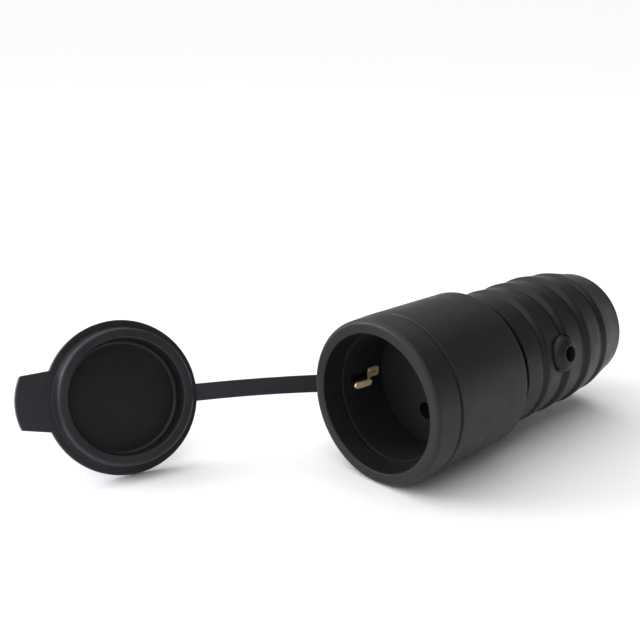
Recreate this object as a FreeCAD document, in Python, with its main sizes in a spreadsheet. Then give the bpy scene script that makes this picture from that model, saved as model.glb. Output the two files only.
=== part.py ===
import FreeCAD, Part
import os
import re
import Sketcher

# Inline socket connector. Y runs along the barrel from the mouth to the cable end, Z is up.
# The origin is the centre of the mouth. Lengths are millimetres, angles are degrees.

size = {
    # barrel
    "mouth_radius": 21.75,
    "rim_wall": 3.65,
    "rim_round": 0.5,
    "band_length": 9.7,
    "band_step": 0.5,
    "band_rise": 0.6,
    "barrel_length": 42.0,
    "line_depth": 0.35,
    "barrel_draft": 0.4,
    "lip_depth": 6.6,
    "lip_height": 0.45,
    "skirt_wall": 2.8,
    "skirt_taper": 0.7,
    # clearances between pieces that lie still against each other
    "seat_gap": 0.08,
    "face_gap": 0.05,
    "screw_gap": 0.05,
    "skirt_gap": 0.25,
    "spigot_gap": 0.4,
    # socket insert
    "recess_ledge": 2.0,
    "recess_depth": 17.5,
    "floor_thick": 3.0,
    "insert_skirt": 2.85,
    "insert_rear_wall": 1.72,
    "recess_round": 0.5,
    "pin_pitch": 19.0,
    "pin_hole": 3.0,
    "slot_width": 2.2,
    "slot_lead": 3.75,
    "window_width": 4.2,
    "window_gap": 0.7,
    "channel_width": 6.6,
    "channel_bite": 0.45,
    # earth strip with its two springs
    "strip_thick": 0.8,
    "strip_width": 6.0,
    "strip_gap": 0.2,
    "strip_wall_gap": 1.8,
    "spring_width": 3.2,
    "spring_lead": 0.85,
    "spring_knee_lead": 5.85,
    "spring_rise": 5.75,
    "spring_crown_lead": 10.85,
    "spring_tip_back": 0.3,
    "spring_tip_lead": 17.15,
    "tongue_width": 1.9,
    "tongue_lead": 9.15,
    # contacts
    "sleeve_bore": 2.45,
    "sleeve_wall": 0.95,
    "sleeve_gap": 0.45,
    "sleeve_depth": 15.0,
    "block_gap": 0.4,
    "block_length": 15.6,
    "block_half_width": 4.2,
    "block_half_height": 4.5,
    "wire_hole": 1.7,
    "wire_depth": 6.8,
    "terminal_inset": 4.0,
    "terminal_shank": 1.6,
    "terminal_length": 3.4,
    "terminal_head": 2.6,
    "terminal_head_height": 1.9,
    # contact base
    "strip_room": 2.25,
    "base_thick": 4.6,
    "base_gap": 0.2,
    "post_radius": 2.6,
    "post_inset": 0.4,
    "base_screw_shank": 1.3,
    "base_screw_depth": 1.7,
    "base_screw_head": 2.4,
    "base_screw_head_height": 1.9,
    "earth_screw_x": 11.0,
    "earth_screw_shank": 1.5,
    "earth_screw_head": 3.0,
    "earth_screw_head_height": 2.4,
    "earth_access_gap": 0.6,
    "tail_gap": 3.0,
    "tail_thick": 3.4,
    "tail_half_width": 4.5,
    "tail_run": 4.0,
    # cord clamp
    "clamp_lag": 14.0,
    "clamp_length": 8.0,
    "clamp_half_width": 9.6,
    "clamp_half_gap": 5.6,
    "clamp_bar_thick": 3.0,
    "clamp_screw_offset": 7.6,
    "clamp_screw_shank": 1.5,
    "clamp_screw_grip": 3.4,
    "clamp_screw_head": 2.2,
    "clamp_screw_head_height": 2.0,
    # grip
    "spigot_length": 5.0,
    "shoulder_gap": 0.1,
    "groove_gap": 0.5,
    "groove_width": 3.8,
    "groove_depth": 2.05,
    "band_drop": 0.45,
    "band_width": 9.7,
    "band_fall": 1.1,
    "rib_pitch": 11.6,
    "crest_lag": 2.4,
    "rib_rise": 0.25,
    "rib_depth": 1.1,
    "rib_fall": 0.5,
    "rib_last_fall": 0.9,
    "rib_back_lead": 2.4,
    "crest_last_drop": 1.05,
    "valley_last_drop": 1.8,
    "tail_taper_run": 12.2,
    "tail_taper_drop": 3.35,
    "end_run": 3.6,
    "end_drop": 0.6,
    "grip_end_round": 1.8,
    "crest_round": 2.4,
    "valley_round": 0.6,
    "grip_wall": 2.9,
    "bore_step": 1.2,
    "bore_narrowing": 2.0,
    "bore_step_run": 2.0,
    "bore_bend_lag": 12.0,
    "rear_wall": 7.0,
    # screw boss on the grip
    "boss_angle": 13.0,
    "boss_lag": 10.0,
    "boss_skin": 0.4,
    "boss_rise": 0.2,
    "boss_height": 2.3,
    "boss_base": 6.4,
    "boss_tip": 4.2,
    "boss_groove": 0.5,
    "boss_groove_floor": 2.9,
    "boss_hole": 2.6,
    "boss_seat_wall": 2.6,
    "lock_shank": 1.7,
    "lock_clear_gap": 0.25,
    "lock_tip": 3.4,
    "lock_head_gap": 0.2,
    "lock_head_height": 1.9,
    "nut_corner": 3.4,
    "nut_height": 2.9,
    # cable seal
    "cable_radius": 4.8,
    "seal_wall": 4.2,
    "seal_gap": 0.08,
    "seal_lap": 2.0,
    "seal_flange_thick": 2.0,
    "seal_inset": 0.4,
    # cap with its strap and ring
    "ring_gap": 0.05,
    "ring_thick": 0.75,
    "ring_side_gap": 0.2,
    "flange_lap": 2.35,
    "flange_thick": 2.4,
    "collar_gap": 0.25,
    "collar_draft": 0.9,
    "collar_height": 5.3,
    "collar_wall": 2.7,
    "collar_round": 0.8,
    "cap_recess": 7.0,
    "cap_recess_round": 2.4,
    "cap_back": 3.8,
    "cap_back_inset": 1.9,
    "pull_reach": 8.6,
    "pull_root_half": 9.4,
    "pull_end_half": 8.15,
    "pull_bow": 1.6,
    "pull_round": 1.0,
    "strap_width": 5.6,
    "strap_thick": 1.9,
    "strap_gap": 0.08,
    "strap_reach": 96.45,
    "strap_side_gap": 6.08,
    "strap_lead": 0.74,
    "strap_turn": 72.0,
    "strap_stub": 20.0,
    "strap_bend": 9.0,
    "strap_root_gap": 0.03,
    # the cap lies open at the end of its strap, its edge on the ground
    "cap_facing": 74.4,
    "cap_lean": 22.2,
    "cap_roll": -7.0,
}

# sizes that follow from the ones above
tied = {
    "rim_radius": "mouth_radius + rim_wall",
    "barrel_radius": "rim_radius + band_rise",
    "barrel_rear": "barrel_radius - barrel_draft",
    "seat_bore": "mouth_radius + lip_height",
    "skirt_bore": "barrel_radius - skirt_wall",
    "recess_radius": "mouth_radius - recess_ledge",
    "insert_front": "lip_depth + face_gap",
    "insert_floor": "insert_front + recess_depth",
    "insert_back": "insert_floor + floor_thick",
    "insert_end": "insert_back + insert_skirt",
    "insert_rear_bore": "seat_bore - seat_gap - insert_rear_wall",
    "slot_front": "insert_front + slot_lead",
    "window_front": "spring_knee - window_gap",
    "channel_root": "recess_radius - channel_bite",
    "strip_front": "insert_back + strip_gap",
    "strip_back": "strip_front + strip_thick",
    "strip_half_span": "seat_bore - strip_wall_gap",
    "spring_knee": "insert_floor - spring_knee_lead",
    "spring_reach": "recess_radius - spring_rise",
    "spring_crown": "insert_floor - spring_crown_lead",
    "spring_tip_x": "spring_reach + spring_tip_back",
    "spring_tip_y": "insert_floor - spring_tip_lead",
    "spring_end": "strip_front - spring_lead",
    "tongue_end": "insert_floor - tongue_lead",
    "sleeve_radius": "sleeve_bore + sleeve_wall",
    "sleeve_front": "insert_back + sleeve_gap",
    "base_front": "insert_back + strip_room",
    "block_front": "base_front + base_thick + block_gap",
    "base_radius": "bore_front - base_gap",
    "post_offset": "base_radius * 0.7071 - post_radius * 0.7071 - post_inset * 0.7071",
    "earth_access": "earth_screw_head + earth_access_gap",
    "spigot_front": "insert_end + spigot_gap",
    "seat_length": "spigot_front + spigot_length",
    "shoulder_front": "seat_length + skirt_taper + shoulder_gap",
    "shoulder_radius": "skirt_bore - skirt_gap",
    "groove_front": "barrel_length + groove_gap",
    "groove_rear": "groove_front + groove_width",
    "groove_radius": "shoulder_radius - groove_depth",
    "grip_radius": "shoulder_radius - band_drop",
    "valley_one": "groove_rear + band_width",
    "valley_two": "valley_one + rib_pitch",
    "valley_three": "valley_two + rib_pitch",
    "valley_four": "valley_three + rib_pitch",
    "band_rear": "valley_one - band_fall",
    "crest_radius": "grip_radius + rib_rise",
    "crest_last": "crest_radius - crest_last_drop",
    "valley_last": "crest_radius - valley_last_drop",
    "grip_tail_y": "valley_four + tail_taper_run",
    "grip_tail_radius": "crest_radius - tail_taper_drop",
    "grip_end": "grip_tail_y + end_run",
    "grip_end_radius": "grip_tail_radius - end_drop",
    "bore_front": "grip_radius - grip_wall",
    "bore_middle": "bore_front - bore_step",
    "bore_rear": "bore_middle - bore_narrowing",
    "bore_step_y": "block_front + block_length + bore_step_run",
    "bore_bend_y": "boss_y + bore_bend_lag",
    "bore_end_y": "grip_end - rear_wall",
    "boss_y": "valley_one + boss_lag",
    "boss_root": "bore_middle + boss_skin",
    "boss_shoulder": "crest_radius + boss_rise",
    "boss_top": "boss_shoulder + boss_height",
    "boss_seat": "bore_middle + boss_seat_wall",
    "boss_floor": "bore_middle + boss_groove_floor",
    "tail_outer": "bore_middle - tail_gap",
    "tail_inner": "tail_outer - tail_thick",
    "tail_end": "clamp_front + clamp_length + tail_run",
    "clamp_front": "boss_y + clamp_lag",
    "lock_clear": "lock_shank + lock_clear_gap",
    "lock_inner": "tail_inner - lock_tip",
    "lock_head": "boss_hole - lock_head_gap",
    "seal_radius": "cable_radius + seal_wall",
    "seal_flange": "seal_radius + seal_lap",
    "ring_inner": "groove_radius + ring_gap",
    "ring_outer": "ring_inner + ring_thick",
    "ring_front": "groove_front + ring_side_gap",
    "ring_width": "groove_width - ring_side_gap * 2",
    "flange_radius": "mouth_radius + flange_lap",
    "collar_base": "mouth_radius - collar_gap",
    "collar_top": "collar_base - collar_draft",
    "collar_bore": "collar_top - collar_wall",
    "cap_back_radius": "collar_base - cap_back_inset",
}

doc = FreeCAD.newDocument("InlineSocketConnector")
sheet = doc.addObject("Spreadsheet::Sheet", "sizes")
for row, (alias, number) in enumerate(size.items(), start=1):
    sheet.set("A%d" % row, alias)
    sheet.set("B%d" % row, str(number))
    sheet.setAlias("B%d" % row, alias)
doc.recompute()

functions = ("sin", "cos", "tan", "sqrt")


def link(text):
    # a formula in size names becomes one that reads the sheet
    def named(word):
        name = word.group()
        if name in functions:
            return name
        if name in tied:
            return "(" + link(tied[name]) + ")"
        return "sizes." + name
    return re.sub(r"[a-z_]+", named, text)


def known(name):
    # first value of a size, of one that follows from others, or of a plain number
    if name in size:
        return size[name]
    if name in tied:
        return amount(tied[name])
    return float(name)


def amount(text):
    # first value of a formula made of sums and products of size names
    total = 0.0
    for term in text.replace(" ", "").replace("-", "+-").split("+"):
        if not term:
            continue
        product = -1.0 if term[0] == "-" else 1.0
        for piece in term.lstrip("-").split("*"):
            first, *rest = piece.split("/")
            product *= known(first)
            for divisor in rest:
                product /= known(divisor)
        total += product
    return total


def new_body(name):
    body = doc.addObject("PartDesign::Body", name)
    body.Label = name
    return body


def place(thing, axis=None, angle=None, base=None):
    if axis:
        thing.Placement.Rotation = FreeCAD.Rotation(FreeCAD.Vector(*axis), 0)
        thing.setExpression("Placement.Rotation.Angle", link(angle))
        for letter, part in zip("xyz", axis):
            thing.setExpression("Placement.Rotation.Axis." + letter, str(part))
    for letter, formula in zip("xyz", base or ()):
        thing.setExpression("Placement.Base." + letter, link(formula))


def outline(body, name, plane, points):
    # closed outline of straight lines, every corner held by its two distances from the origin
    sketch = body.newObject("Sketcher::SketchObject", name)
    for datum in body.Origin.OriginFeatures:
        if datum.Role == plane:
            sketch.AttachmentSupport = (datum, "")
    sketch.MapMode = "FlatFace"
    corners = [FreeCAD.Vector(amount(u), amount(v), 0) for u, v in points]
    count = len(corners)
    for index in range(count):
        sketch.addGeometry(Part.LineSegment(corners[index], corners[(index + 1) % count]), False)
    for index in range(count):
        sketch.addConstraint(Sketcher.Constraint("Coincident", index, 2, (index + 1) % count, 1))
    for index, (u, v) in enumerate(points):
        if u == "0":
            sketch.addConstraint(Sketcher.Constraint("PointOnObject", index, 1, -2))
        else:
            held = Sketcher.Constraint("DistanceX", -1, 1, index, 1, amount(u))
            number = sketch.addConstraint(held)
            sketch.setExpression("Constraints[%d]" % number, link(u))
        if v == "0":
            sketch.addConstraint(Sketcher.Constraint("PointOnObject", index, 1, -1))
        else:
            held = Sketcher.Constraint("DistanceY", -1, 1, index, 1, amount(v))
            number = sketch.addConstraint(held)
            sketch.setExpression("Constraints[%d]" % number, link(v))
    return sketch


def turned(body, name, plane, points):
    sketch = outline(body, name + "_profile", plane, points)
    turn = body.newObject("PartDesign::Revolution", name)
    turn.Profile = sketch
    turn.ReferenceAxis = (sketch, ["V_Axis"])
    turn.Angle = 360
    doc.recompute()
    return turn


def padded(body, name, sketch, width):
    pad = body.newObject("PartDesign::Pad", name)
    pad.Profile = sketch
    pad.Midplane = True
    pad.setExpression("Length", link(width))
    doc.recompute()
    return pad


def rounded(body, name, base, spots, radius, along="y"):
    # rounds the circular edges at the given radius and height
    names = []
    for spot_radius, spot_height in spots:
        for index, edge in enumerate(base.Shape.Edges, start=1):
            curve = edge.Curve
            if not hasattr(curve, "Radius") or not hasattr(curve, "Center"):
                continue
            if abs(curve.Radius - amount(spot_radius)) > 0.02:
                continue
            if abs(getattr(curve.Center, along) - amount(spot_height)) < 0.02:
                names.append("Edge%d" % index)
    fillet = body.newObject("PartDesign::Fillet", name)
    fillet.Base = (base, names)
    fillet.setExpression("Radius", link(radius))
    doc.recompute()
    return fillet


def rounded_corners(body, name, base, spots, radius, axes="xy"):
    # rounds the straight edges that pass through the given corners
    names = []
    for first, second in spots:
        for index, edge in enumerate(base.Shape.Edges, start=1):
            if len(edge.Vertexes) != 2:
                continue
            ends = [vertex.Point for vertex in edge.Vertexes]
            gap_first = max(abs(getattr(end, axes[0]) - first) for end in ends)
            gap_second = max(abs(getattr(end, axes[1]) - second) for end in ends)
            if max(gap_first, gap_second) < 0.05:
                names.append("Edge%d" % index)
    fillet = body.newObject("PartDesign::Fillet", name)
    fillet.Base = (base, names)
    fillet.setExpression("Radius", link(radius))
    doc.recompute()
    return fillet


def rod(name, radius, length, base, axis=(1, 0, 0), angle="-90"):
    # round bar, by default along +Y
    bar = doc.addObject("Part::Cylinder", name)
    bar.setExpression("Radius", link(radius))
    bar.setExpression("Height", link(length))
    place(bar, axis, angle, base)
    return bar


def slab(name, low, spans):
    block = doc.addObject("Part::Box", name)
    for prop, span in zip(("Length", "Width", "Height"), spans):
        block.setExpression(prop, link(span))
    place(block, base=low)
    return block


def fused(name, pieces):
    whole = doc.addObject("Part::MultiFuse", name)
    whole.Shapes = pieces
    return whole


def cut(name, base, tools):
    doc.recompute()
    tool = tools[0]
    if len(tools) > 1:
        tool = fused(name + "_tools", tools)
    trimmed = doc.addObject("Part::Cut", name)
    trimmed.Base = base
    trimmed.Tool = tool
    trimmed.Label = name
    doc.recompute()
    return trimmed


def carried(thing):
    # carried round the barrel's axis to the boss's side
    place(thing, (0, 1, 0), "-boss_angle")
    return thing


nodes = []

# Barrel: rubber sleeve with a mouth, a line round it behind the mouth, an inner lip and a rear skirt
housing = new_body("front_housing")
housing_turn = turned(housing, "barrel", "XY_Plane", [
    ("mouth_radius", "0"),
    ("rim_radius", "0"),
    ("barrel_radius", "band_length - band_step"),
    ("barrel_radius - line_depth", "band_length"),
    ("barrel_radius", "band_length + band_step"),
    ("barrel_rear", "barrel_length"),
    ("skirt_bore", "barrel_length"),
    ("skirt_bore", "seat_length + skirt_taper"),
    ("seat_bore", "seat_length"),
    ("seat_bore", "lip_depth"),
    ("mouth_radius", "lip_depth"),
])
rounded(housing, "barrel_edges", housing_turn,
        [("rim_radius", "0"), ("barrel_rear", "barrel_length")], "rim_round")
nodes.append(housing)

# Socket insert: round recess with two pin holes and a stepped slot on each side for an earth spring
insert = new_body("socket_insert")
insert_turn = turned(insert, "insert_cup", "XY_Plane", [
    ("0", "insert_floor"),
    ("recess_radius", "insert_floor"),
    ("recess_radius", "insert_front"),
    ("seat_bore - seat_gap", "insert_front"),
    ("seat_bore - seat_gap", "insert_end"),
    ("insert_rear_bore", "insert_end"),
    ("insert_rear_bore", "insert_back"),
    ("0", "insert_back"),
])
rounded(insert, "insert_edge", insert_turn, [("recess_radius", "insert_front")], "recess_round")
pin_tools = []
for side, sign in (("upper", ""), ("lower", "-")):
    pin_tools.append(rod("pin_hole_" + side, "pin_hole", "floor_thick + 2",
                         ("0", "insert_floor - 1", sign + "pin_pitch / 2")))
for side, low in (("right", "channel_root"), ("left", "-channel_root - 5")):
    for way, front, width in (("slot_", "slot_front", "slot_width"),
                              ("window_", "window_front", "window_width"),
                              ("channel_", "insert_floor", "channel_width")):
        pin_tools.append(slab(way + side, (low, front, "-" + width + " / 2"),
                              ("5", "insert_end - " + front + " + 1", width)))
for number, (sx, sz) in enumerate((("", "-"), ("-", "")), start=1):
    pin_tools.append(rod("insert_screw_hole_%d" % number, "base_screw_shank + screw_gap",
                         "base_screw_depth + screw_gap + 1",
                         (sx + "post_offset", "insert_back - base_screw_depth - screw_gap",
                          sz + "post_offset")))
pin_tools.append(rod("insert_earth_hole", "earth_screw_shank + screw_gap",
                     "base_screw_depth + screw_gap + 1",
                     ("-earth_screw_x", "insert_back - base_screw_depth - screw_gap", "0")))
insert.Label = "insert_blank"
nodes.append(cut("socket_insert_cut", insert, pin_tools))
nodes[-1].Label = "socket_insert"

# Earth strip: flat bar behind the floor, both ends bent forward into springs
bracket = new_body("earth_strip_blank")
bracket_sketch = outline(bracket, "earth_strip_profile", "XY_Plane", [
    ("-strip_half_span", "strip_back"),
    ("strip_half_span", "strip_back"),
    ("strip_half_span", "spring_knee"),
    ("spring_reach + strip_thick * 0.94", "spring_crown - strip_thick * 0.375"),
    ("spring_tip_x + strip_thick * 0.9", "spring_tip_y"),
    ("spring_tip_x", "spring_tip_y"),
    ("spring_reach", "spring_crown"),
    ("strip_half_span - strip_thick", "spring_knee + strip_thick * 0.44"),
    ("strip_half_span - strip_thick", "strip_front"),
    ("strip_thick - strip_half_span", "strip_front"),
    ("strip_thick - strip_half_span", "spring_knee + strip_thick * 0.44"),
    ("-spring_reach", "spring_crown"),
    ("-spring_tip_x", "spring_tip_y"),
    ("-spring_tip_x - strip_thick * 0.9", "spring_tip_y"),
    ("-spring_reach - strip_thick * 0.94", "spring_crown - strip_thick * 0.375"),
    ("-strip_half_span", "spring_knee"),
])
padded(bracket, "earth_strip", bracket_sketch, "strip_width")
bracket_tools = []
for part, end, width in (("tongue", "tongue_end", "tongue_width"), ("spring", "spring_end", "spring_width")):
    for side, low in (("upper", width + " / 2"), ("lower", "-strip_width")):
        span = "strip_width - " + width + " / 2" if side == "lower" else "strip_width"
        bracket_tools.append(slab(part + "_trim_" + side, ("-strip_half_span - 1", "spring_tip_y - 2", low),
                                  ("strip_half_span * 2 + 2", end + " - spring_tip_y + 2", span)))
bracket_tools.append(rod("earth_strip_hole", "earth_screw_shank + screw_gap", "6",
                         ("-earth_screw_x", "strip_front - 3", "0")))
nodes.append(cut("earth_bracket", bracket, bracket_tools))

# Earth terminal screw
earth_shank = rod("earth_shank", "earth_screw_shank", "base_screw_depth + strip_gap + strip_thick + 0.5",
                  ("-earth_screw_x", "insert_back - base_screw_depth", "0"))
earth_head = rod("earth_head", "earth_screw_head", "earth_screw_head_height",
                 ("-earth_screw_x", "strip_back + face_gap", "0"))
earth_slot = slab("earth_slot", ("-earth_screw_x - 4", "strip_back + earth_screw_head_height - 0.7", "-0.4"),
                  ("8", "2", "0.8"))
nodes.append(cut("earth_terminal_screw", fused("earth_screw_blank", [earth_shank, earth_head]), [earth_slot]))

# Contact base: disc with two posts, a tail under the boss and the saddle of the cord clamp
base_disc = rod("base_disc", "base_radius", "base_thick", ("0", "base_front", "0"))
base_pieces = [base_disc]
for number, (sx, sz) in enumerate((("", "-"), ("-", "")), start=1):
    base_pieces.append(rod("base_post_%d" % number, "post_radius", "base_front - insert_back - face_gap + 1",
                           (sx + "post_offset", "insert_back + face_gap", sz + "post_offset")))
base_pieces.append(slab("base_tail", ("tail_inner", "base_front + 1", "-tail_half_width"),
                        ("tail_outer - tail_inner", "tail_end - base_front - 1", "tail_half_width * 2")))
base_pieces.append(slab("base_saddle", ("clamp_half_gap", "clamp_front", "-clamp_half_width"),
                        ("tail_inner - clamp_half_gap + 1", "clamp_length", "clamp_half_width * 2")))
tail = fused("tail_blank", base_pieces[-2:])
carried(tail)
base_tools = []
for side, sign in (("upper", ""), ("lower", "-")):
    base_tools.append(rod("base_sleeve_hole_" + side, "sleeve_radius + seat_gap", "base_thick + 4",
                          ("0", "base_front - 2", sign + "pin_pitch / 2")))
for number, (sx, sz) in enumerate((("", "-"), ("-", "")), start=1):
    base_tools.append(rod("base_screw_hole_%d" % number, "base_screw_shank + screw_gap", "base_thick + 8",
                          (sx + "post_offset", "base_front - 5", sz + "post_offset")))
base_tools.append(rod("base_earth_access", "earth_access", "base_thick + 4",
                      ("-earth_screw_x", "base_front - 2", "0")))
lock_hole = rod("tail_lock_hole", "lock_clear", "tail_outer - tail_inner + 4",
                ("tail_inner - 2", "boss_y", "0"),
                (0, 1, 0), "90")
saddle_holes = []
for side, sign in (("upper", ""), ("lower", "-")):
    saddle_holes.append(rod("saddle_hole_" + side, "clamp_screw_shank + screw_gap", "clamp_screw_grip + 2.2",
                            ("clamp_half_gap - 2", "clamp_front + clamp_length / 2",
                             sign + "clamp_screw_offset"),
                            (0, 1, 0), "90"))
tail_tools = fused("tail_holes", [lock_hole] + saddle_holes)
carried(tail_tools)
nodes.append(cut("contact_base", fused("base_blank", base_pieces[:-2] + [tail]), base_tools + [tail_tools]))

# Contacts: a split-free sleeve for the pin and a block for the wire, one above and one below
for side, turn in (("line", "0"), ("neutral", "180")):
    sleeve = rod(side + "_sleeve", "sleeve_radius", "block_front - sleeve_front + 1",
                 ("0", "sleeve_front", "pin_pitch / 2"))
    block = slab(side + "_block",
                 ("-block_half_width", "block_front", "pin_pitch / 2 - block_half_height"),
                 ("block_half_width * 2", "block_length", "block_half_height * 2"))
    bore = rod(side + "_bore", "sleeve_bore", "sleeve_depth + 1", ("0", "sleeve_front - 1", "pin_pitch / 2"))
    wire = rod(side + "_wire", "wire_hole", "wire_depth + 1",
               ("0", "block_front + block_length - wire_depth", "pin_pitch / 2"))
    thread = rod(side + "_thread", "terminal_shank + screw_gap", "block_half_height + 2",
                 ("0", "block_front + block_length - terminal_inset", "pin_pitch / 2"), (0, 0, 1), "0")
    contact = cut(side + "_contact", fused(side + "_blank", [sleeve, block]), [bore, wire, thread])
    place(contact, (0, 1, 0), turn)
    nodes.append(contact)
    shank = rod(side + "_shank", "terminal_shank", "terminal_length + 0.5",
                ("0", "block_front + block_length - terminal_inset",
                 "pin_pitch / 2 + block_half_height - terminal_length"), (0, 0, 1), "0")
    head = rod(side + "_head", "terminal_head", "terminal_head_height",
               ("0", "block_front + block_length - terminal_inset",
                "pin_pitch / 2 + block_half_height + face_gap"), (0, 0, 1), "0")
    slot = slab(side + "_slot",
                ("-0.4", "block_front + block_length - terminal_inset - 4",
                 "pin_pitch / 2 + block_half_height + terminal_head_height - 0.7"), ("0.8", "8", "2"))
    screw = cut(side + "_terminal_screw", fused(side + "_screw_blank", [shank, head]), [slot])
    place(screw, (0, 1, 0), turn)
    nodes.append(screw)

# Screws that hold the contact base to the insert
base_screw_parts = []
base_screw_slots = []
for number, (sx, sz) in enumerate((("", "-"), ("-", "")), start=1):
    base_screw_parts.append(rod("base_shank_%d" % number, "base_screw_shank",
                                "base_front + base_thick + 0.5 - insert_back + base_screw_depth",
                                (sx + "post_offset", "insert_back - base_screw_depth", sz + "post_offset")))
    base_screw_parts.append(rod("base_head_%d" % number, "base_screw_head", "base_screw_head_height",
                                (sx + "post_offset", "base_front + base_thick + face_gap",
                                 sz + "post_offset")))
    base_screw_slots.append(slab("base_slot_%d" % number,
                                 (sx + "post_offset - 4",
                                  "base_front + base_thick + base_screw_head_height - 0.6",
                                  sz + "post_offset - 0.4"), ("8", "2", "0.8")))
nodes.append(cut("base_screws", fused("base_screw_blank", base_screw_parts), base_screw_slots))

# Cord clamp: bar and its two screws
bar = slab("clamp_bar_blank", ("-clamp_half_gap - clamp_bar_thick", "clamp_front", "-clamp_half_width"),
           ("clamp_bar_thick", "clamp_length", "clamp_half_width * 2"))
bar_holes = []
clamp_screw_parts = []
clamp_slots = []
for side, sign in (("upper", ""), ("lower", "-")):
    bar_holes.append(rod("bar_hole_" + side, "clamp_screw_shank + screw_gap", "clamp_bar_thick + 4",
                         ("-clamp_half_gap - clamp_bar_thick - 2", "clamp_front + clamp_length / 2",
                          sign + "clamp_screw_offset"), (0, 1, 0), "90"))
    clamp_screw_parts.append(rod("clamp_shank_" + side, "clamp_screw_shank",
                                 "clamp_half_gap * 2 + clamp_bar_thick + clamp_screw_grip + 0.5",
                                 ("-clamp_half_gap - clamp_bar_thick - 0.5", "clamp_front + clamp_length / 2",
                                  sign + "clamp_screw_offset"), (0, 1, 0), "90"))
    clamp_screw_parts.append(rod("clamp_head_" + side, "clamp_screw_head", "clamp_screw_head_height",
                                 ("-clamp_half_gap - clamp_bar_thick - face_gap - clamp_screw_head_height",
                                  "clamp_front + clamp_length / 2", sign + "clamp_screw_offset"),
                                 (0, 1, 0), "90"))
    clamp_slots.append(slab("clamp_slot_" + side,
                            ("-clamp_half_gap - clamp_bar_thick - clamp_screw_head_height - 2",
                             "clamp_front + clamp_length / 2 - 4", sign + "clamp_screw_offset - 0.4"),
                            ("2.7", "8", "0.8")))
nodes.append(carried(cut("cord_clamp_bar", bar, bar_holes)))
nodes.append(carried(cut("cord_clamp_screws", fused("clamp_screw_blank", clamp_screw_parts), clamp_slots)))

# Nut under the tail and the screw that locks the grip to it
nut = doc.addObject("Part::Prism", "nut_blank")
nut.Polygon = 6
nut.setExpression("Circumradius", link("nut_corner"))
nut.setExpression("Height", link("nut_height"))
place(nut, (0, 1, 0), "90", ("tail_inner - face_gap - nut_height", "boss_y", "0"))
nut_hole = rod("nut_hole", "lock_shank + screw_gap", "nut_height + 4",
               ("tail_inner - nut_height - 2", "boss_y", "0"), (0, 1, 0), "90")
nodes.append(carried(cut("anchor_nut", nut, [nut_hole])))
lock_shank = rod("lock_shank_bar", "lock_shank", "boss_seat - lock_inner + 0.5",
                 ("lock_inner", "boss_y", "0"),
                 (0, 1, 0), "90")
lock_head = rod("lock_head_bar", "lock_head", "lock_head_height", ("boss_seat + face_gap", "boss_y", "0"),
                (0, 1, 0), "90")
lock_slot = slab("lock_slot", ("boss_seat + lock_head_height - 0.7", "boss_y - 4", "-0.4"), ("2", "8", "0.8"))
nodes.append(carried(cut("locking_screw", fused("lock_blank", [lock_shank, lock_head]), [lock_slot])))

# Grip: ribbed rubber sleeve with a spigot, a groove for the ring and a screw boss
grip = new_body("grip_blank")
valleys = ["valley_one", "valley_two", "valley_three"]
grip_points = [
    ("0", "spigot_front"),
    ("seat_bore - seat_gap", "spigot_front"),
    ("seat_bore - seat_gap", "shoulder_front"),
    ("shoulder_radius", "shoulder_front"),
    ("shoulder_radius", "groove_front"),
    ("groove_radius", "groove_front"),
    ("groove_radius", "groove_rear"),
    ("grip_radius", "groove_rear"),
    ("grip_radius", "band_rear"),
]
crest_spots = []
valley_spots = []
for valley in valleys:
    valley_spots.append(("crest_radius - rib_depth", valley))
    crest_spots.append(("crest_radius", valley + " + crest_lag"))
    fall = "rib_last_fall" if valley == "valley_three" else "rib_fall"
    rib_back = ("crest_radius - " + fall, valley + " + rib_pitch - rib_back_lead")
    grip_points += [valley_spots[-1], crest_spots[-1], rib_back]
valley_spots.append(("valley_last", "valley_four"))
crest_spots.append(("crest_last", "valley_four + crest_lag"))
grip_points += [
    valley_spots[-1],
    crest_spots[-1],
    ("grip_tail_radius", "grip_tail_y"),
    ("grip_end_radius", "grip_end"),
    ("0", "grip_end"),
]
grip_turn = turned(grip, "grip_shape", "XY_Plane", grip_points)
grip_crests = rounded(grip, "grip_crests", grip_turn, crest_spots, "crest_round")
grip_valleys = rounded(grip, "grip_valleys", grip_crests, valley_spots + [("grip_radius", "band_rear")],
                       "valley_round")
rounded(grip, "grip_end_edge", grip_valleys, [("grip_end_radius", "grip_end")], "grip_end_round")
hollow = new_body("grip_hollow")
turned(hollow, "hollow_shape", "XY_Plane", [
    ("0", "spigot_front - 1"),
    ("bore_front", "spigot_front - 1"),
    ("bore_front", "bore_step_y"),
    ("bore_middle", "bore_step_y + 1"),
    ("bore_middle", "bore_bend_y"),
    ("bore_rear", "bore_end_y"),
    ("seal_radius + seal_gap", "bore_end_y"),
    ("seal_radius + seal_gap", "grip_end + 1"),
    ("0", "grip_end + 1"),
])
boss_foot = rod("boss_foot", "boss_base", "boss_shoulder - boss_root", ("boss_root", "boss_y", "0"),
                (0, 1, 0), "90")
boss_cone = doc.addObject("Part::Cone", "boss_cone")
boss_cone.setExpression("Radius1", link("boss_base"))
boss_cone.setExpression("Radius2", link("boss_tip"))
boss_cone.setExpression("Height", link("boss_top - boss_shoulder"))
place(boss_cone, (0, 1, 0), "90", ("boss_shoulder", "boss_y", "0"))
boss = carried(fused("boss", [boss_foot, boss_cone]))
boss_well = rod("boss_well", "boss_hole", "boss_top - boss_seat + 3", ("boss_seat", "boss_y", "0"),
                (0, 1, 0), "90")
boss_through = rod("boss_through", "lock_clear", "boss_seat - bore_middle + 4",
                   ("bore_middle - 3", "boss_y", "0"),
                   (0, 1, 0), "90")
boss_holes = carried(fused("boss_holes", [boss_well, boss_through]))
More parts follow.
